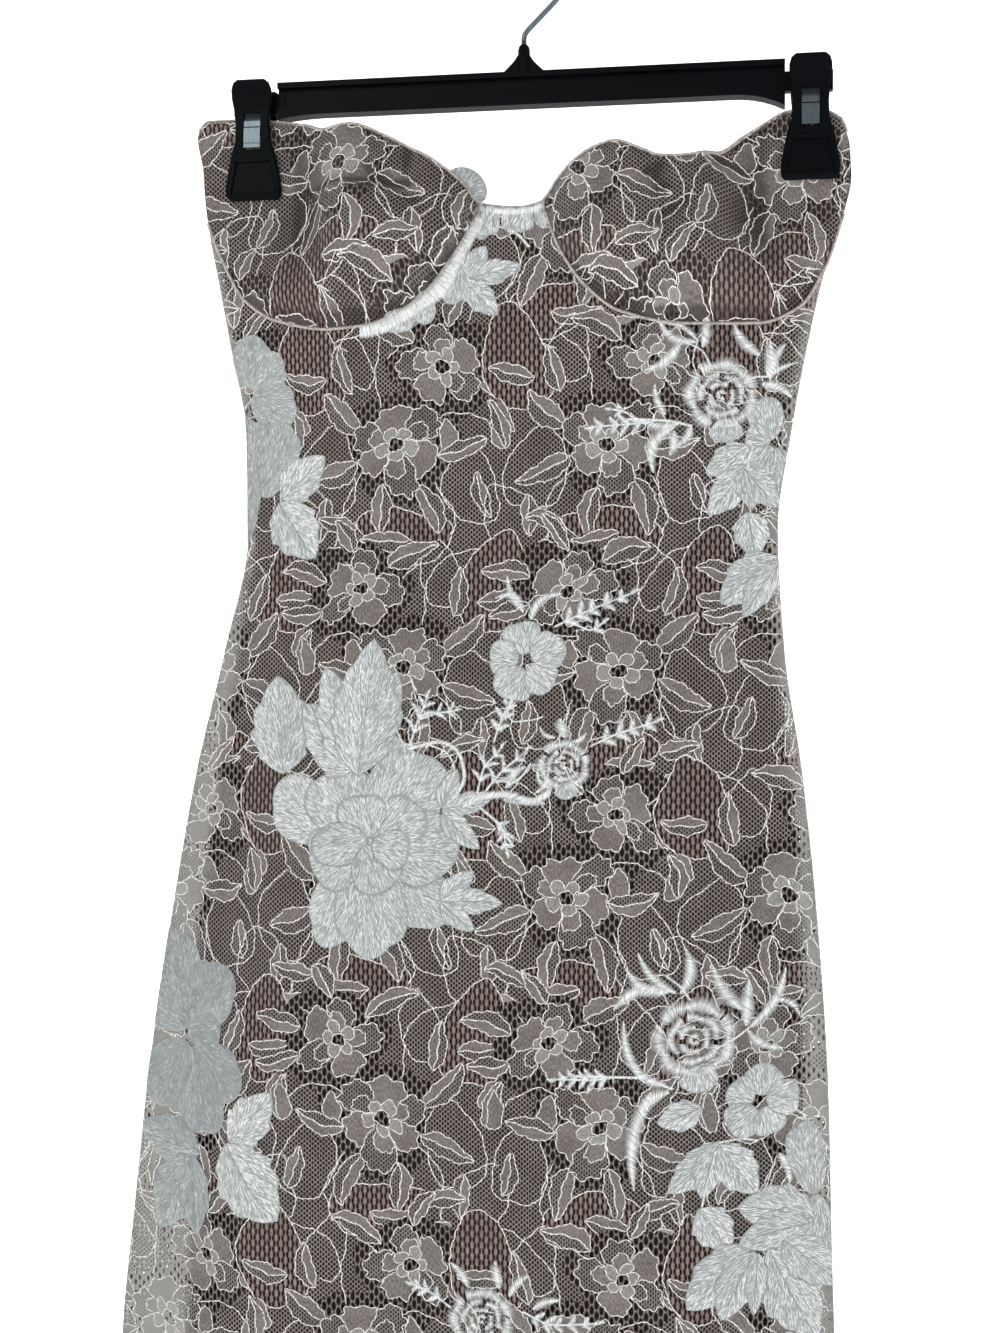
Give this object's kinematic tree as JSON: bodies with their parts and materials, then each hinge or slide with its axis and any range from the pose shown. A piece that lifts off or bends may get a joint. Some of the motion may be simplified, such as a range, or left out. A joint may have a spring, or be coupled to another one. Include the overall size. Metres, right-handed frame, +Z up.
{
  "type": "strapless lace dress on a clip hanger",
  "caption": "Strapless corded-lace column dress with bust cups and raised floral embroidery over a narrower lining, hung flat by its top edge from a clip hanger with a wire hook.",
  "frame": {"origin": "inside top of the wire hook, where a rail carries the hanger", "axes": "+Z up along the hanging dress, +X to the picture's right, the dress's front faces -Y"},
  "size_m": [0.4516, 0.0913, 1.1632],
  "materials": {
    "lace": "corded lace",
    "lining": "matte knit lining",
    "embroidery": "satin stitch",
    "hanger": "moulded",
    "steel": "bright wire and strip"
  },
  "bodies": {
    "root": {"applique_flower_hem": "embroidery", "applique_flower_large": "embroidery", "applique_flower_left_lower": "embroidery", "applique_flower_left_upper": "embroidery", "applique_flower_lower": "embroidery", "applique_flower_open": "embroidery", "applique_flower_upper": "embroidery", "applique_leaf_edge_lower": "embroidery", "applique_leaf_edge_upper": "embroidery", "applique_leaf_left_large": "embroidery", "applique_leaf_left_low": "embroidery", "applique_leaf_left_small": "embroidery", "applique_leaf_lower_five": "embroidery", "applique_leaf_lower_four": "embroidery", "applique_leaf_lower_one": "embroidery", "applique_leaf_lower_three": "embroidery", "applique_leaf_lower_two": "embroidery", "applique_leaf_pair_left": "embroidery", "applique_leaf_pair_right": "embroidery", "applique_leaf_serrated": "embroidery", "applique_leaf_side_low": "embroidery", "applique_leaf_side_one": "embroidery", "applique_leaf_side_three": "embroidery", "applique_leaf_side_two": "embroidery", "applique_leaf_sprig_bust": "embroidery", "applique_leaf_stem_upper": "embroidery", "applique_leaf_upper_left": "embroidery", "applique_petal_edge_lower": "embroidery", "applique_petal_edge_upper": "embroidery", "applique_petal_left": "embroidery", "applique_rose_lower": "embroidery", "applique_rose_small": "embroidery", "applique_rose_upper": "embroidery", "band_underwire_left": "embroidery", "clip_left_back": "hanger", "clip_left_front": "hanger", "clip_left_spring": "steel", "clip_right_back": "hanger", "clip_right_front": "hanger", "clip_right_spring": "steel", "cup_left": "lace", "cup_right": "lace", "hanger_bar": "hanger", "hanger_hook": "steel", "lace_back_left": "lace", "lace_back_right": "lace", "lace_front": "lace", "lining_back": "lining", "lining_front": "lining"}
  },
  "joints": []
}
